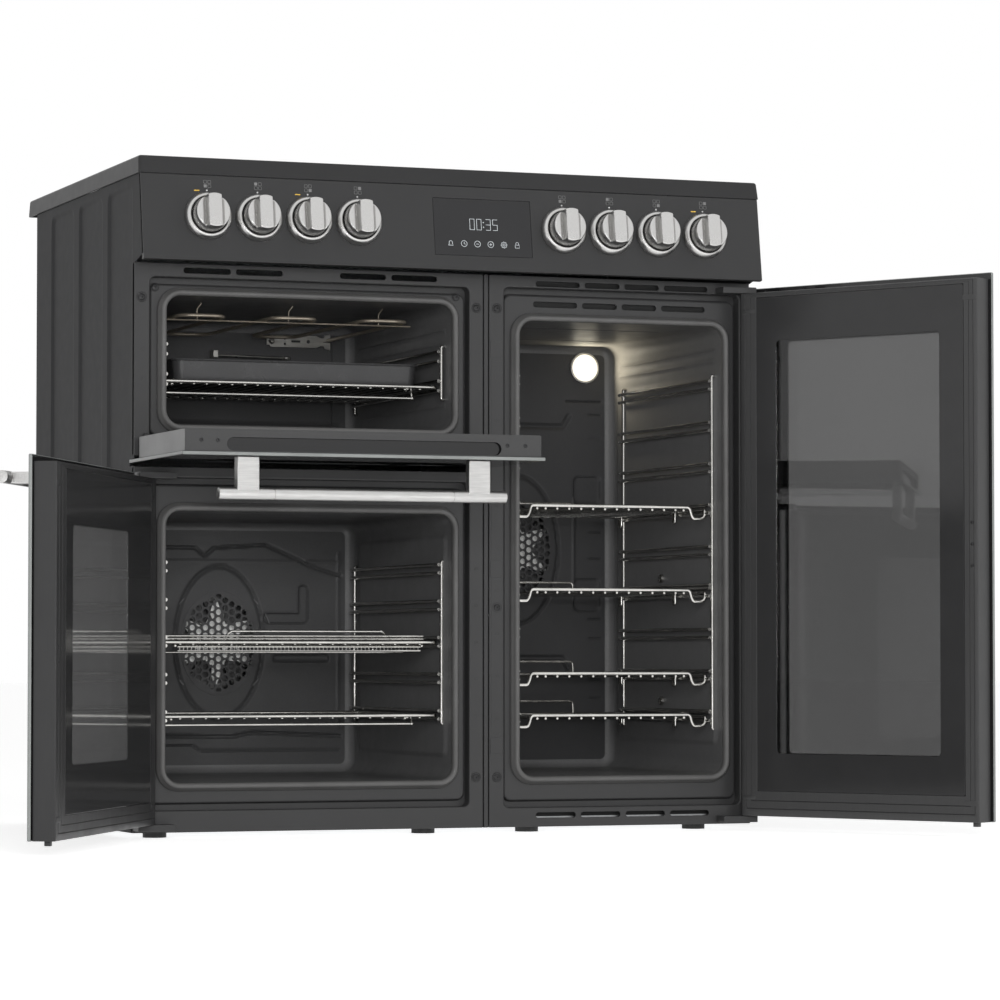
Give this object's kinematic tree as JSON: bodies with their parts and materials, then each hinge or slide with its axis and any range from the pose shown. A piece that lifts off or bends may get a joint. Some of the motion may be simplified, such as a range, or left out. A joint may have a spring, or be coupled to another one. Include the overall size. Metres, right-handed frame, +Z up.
{
  "type": "range cooker",
  "caption": "Free-standing electric range cooker: ceramic hob over a drop-down-door grill and two side-hung ovens, with turning knobs, sliding wire shelves and fans.",
  "frame": {"origin": "centre of the chassis underside, above the feet", "axes": "+X to the user's right, +Y to the back, +Z up"},
  "size_m": [1.4012, 1.0178, 0.9085],
  "materials": {
    "enamel": "satin grey enamel",
    "cavity_enamel": "gloss vitreous enamel",
    "bare_sheet": "zinc-coated sheet",
    "door_glass": "gloss, dark printed back",
    "inner_glass": "gloss, dark printed border",
    "black_glass": "gloss black",
    "lamp_glass": "frosted",
    "door_profile": "satin",
    "satin_metal": "satin",
    "chrome_wire": "bright",
    "element_steel": "heat-tinted",
    "gasket": "matt silicone",
    "foot_plastic": "matt"
  },
  "bodies": {
    "cooker": {"back_panel": "bare_sheet", "base_pan": "bare_sheet", "display_glass": "black_glass", "fascia": "enamel", "front_foot_1": "foot_plastic", "front_foot_2": "foot_plastic", "front_foot_3": "foot_plastic", "front_foot_4": "foot_plastic", "grill_element": "element_steel", "grill_liner": "cavity_enamel", "grill_rack": "chrome_wire", "grill_seal": "gasket", "hob_frame": "enamel", "hob_glass": "black_glass", "hob_heaters": "bare_sheet", "left_front_frame": "enamel", "left_side_panel": "enamel", "main_fan_motor": "bare_sheet", "main_liner": "cavity_enamel", "main_rack_left": "chrome_wire", "main_rack_right": "chrome_wire", "main_seal": "gasket", "right_front_frame": "enamel", "right_side_panel": "enamel", "tall_fan_motor": "bare_sheet", "tall_liner": "cavity_enamel", "tall_oven_lamp": "lamp_glass", "tall_rack_left": "chrome_wire", "tall_rack_right": "chrome_wire", "tall_seal": "gasket"},
    "main_door": {"main_door_glass": "door_glass", "main_door_frame": "door_profile", "main_door_inner_glass": "inner_glass", "main_door_handle": "satin_metal"},
    "tall_door": {"tall_door_glass": "door_glass", "tall_door_frame": "door_profile", "tall_door_inner_glass": "inner_glass", "tall_door_handle": "satin_metal"},
    "grill_door": {"grill_door_glass": "door_glass", "grill_door_frame": "door_profile", "grill_door_inner_glass": "inner_glass", "grill_door_handle": "satin_metal"},
    "control_1": {"knob_1": "satin_metal"},
    "control_2": {"knob_2": "satin_metal"},
    "control_3": {"knob_3": "satin_metal"},
    "control_4": {"knob_4": "satin_metal"},
    "control_5": {"knob_5": "satin_metal"},
    "control_6": {"knob_6": "satin_metal"},
    "control_7": {"knob_7": "satin_metal"},
    "control_8": {"knob_8": "satin_metal"},
    "main_fan_rotor": {"main_fan": "bare_sheet"},
    "tall_fan_rotor": {"tall_fan": "bare_sheet"},
    "grill_sliding_shelf": {"grill_shelf": "chrome_wire", "grill_pan": "cavity_enamel"},
    "main_sliding_shelf_1": {"main_shelf_1": "chrome_wire"},
    "main_sliding_shelf_2": {"main_shelf_2": "chrome_wire"},
    "tall_sliding_shelf_1": {"tall_shelf_1": "chrome_wire"},
    "tall_sliding_shelf_2": {"tall_shelf_2": "chrome_wire"},
    "tall_sliding_shelf_3": {"tall_shelf_3": "chrome_wire"},
    "tall_sliding_shelf_4": {"tall_shelf_4": "chrome_wire"}
  },
  "joints": [
    {"name": "main_door_swing", "type": "hinge", "parent": "cooker", "child": "main_door", "pos_m": [-0.443, -0.2907, 0.24], "axis": [0, 0, -1], "range_deg": [-120, 0]},
    {"name": "tall_door_swing", "type": "hinge", "parent": "cooker", "child": "tall_door", "pos_m": [0.443, -0.2907, 0.38], "axis": [0, 0, 1], "range_deg": [-120, 0]},
    {"name": "grill_door_drop", "type": "hinge", "parent": "cooker", "child": "grill_door", "pos_m": [-0.2, -0.273, 0.5265], "axis": [1, 0, 0], "range_deg": [-90, 0]},
    {"name": "control_1_turn", "type": "hinge", "parent": "cooker", "child": "control_1", "pos_m": [-0.3584, -0.30635, 0.82074], "axis": [0, -0.9891, 0.1475], "continuous": true},
    {"name": "control_2_turn", "type": "hinge", "parent": "cooker", "child": "control_2", "pos_m": [-0.2877, -0.30635, 0.82074], "axis": [0, -0.9891, 0.1475], "continuous": true},
    {"name": "control_3_turn", "type": "hinge", "parent": "cooker", "child": "control_3", "pos_m": [-0.217, -0.30635, 0.82074], "axis": [0, -0.9891, 0.1475], "continuous": true},
    {"name": "control_4_turn", "type": "hinge", "parent": "cooker", "child": "control_4", "pos_m": [-0.1463, -0.30635, 0.82074], "axis": [0, -0.9891, 0.1475], "continuous": true},
    {"name": "control_5_turn", "type": "hinge", "parent": "cooker", "child": "control_5", "pos_m": [0.1515, -0.30635, 0.82074], "axis": [0, -0.9891, 0.1475], "continuous": true},
    {"name": "control_6_turn", "type": "hinge", "parent": "cooker", "child": "control_6", "pos_m": [0.2222, -0.30635, 0.82074], "axis": [0, -0.9891, 0.1475], "continuous": true},
    {"name": "control_7_turn", "type": "hinge", "parent": "cooker", "child": "control_7", "pos_m": [0.2929, -0.30635, 0.82074], "axis": [0, -0.9891, 0.1475], "continuous": true},
    {"name": "control_8_turn", "type": "hinge", "parent": "cooker", "child": "control_8", "pos_m": [0.3636, -0.30635, 0.82074], "axis": [0, -0.9891, 0.1475], "continuous": true},
    {"name": "main_fan_spin", "type": "hinge", "parent": "cooker", "child": "main_fan_rotor", "pos_m": [-0.2, 0.1715, 0.2554], "axis": [0, 1, 0], "continuous": true},
    {"name": "tall_fan_spin", "type": "hinge", "parent": "cooker", "child": "tall_fan_rotor", "pos_m": [0.2558, 0.1555, 0.393], "axis": [0, 1, 0], "continuous": true},
    {"name": "grill_shelf_slide", "type": "slide", "parent": "cooker", "child": "grill_sliding_shelf", "axis": [0, -1, 0], "range_m": [0, 0.2]},
    {"name": "main_shelf_1_slide", "type": "slide", "parent": "cooker", "child": "main_sliding_shelf_1", "axis": [0, -1, 0], "range_m": [0, 0.2]},
    {"name": "main_shelf_2_slide", "type": "slide", "parent": "cooker", "child": "main_sliding_shelf_2", "axis": [0, -1, 0], "range_m": [0, 0.2]},
    {"name": "tall_shelf_1_slide", "type": "slide", "parent": "cooker", "child": "tall_sliding_shelf_1", "axis": [0, -1, 0], "range_m": [0, 0.2]},
    {"name": "tall_shelf_2_slide", "type": "slide", "parent": "cooker", "child": "tall_sliding_shelf_2", "axis": [0, -1, 0], "range_m": [0, 0.2]},
    {"name": "tall_shelf_3_slide", "type": "slide", "parent": "cooker", "child": "tall_sliding_shelf_3", "axis": [0, -1, 0], "range_m": [0, 0.2]},
    {"name": "tall_shelf_4_slide", "type": "slide", "parent": "cooker", "child": "tall_sliding_shelf_4", "axis": [0, -1, 0], "range_m": [0, 0.2]}
  ],
  "couplings": [
    {"joint": "grill_door_drop", "follows": "main_door_swing", "ratio": 0.75}
  ]
}
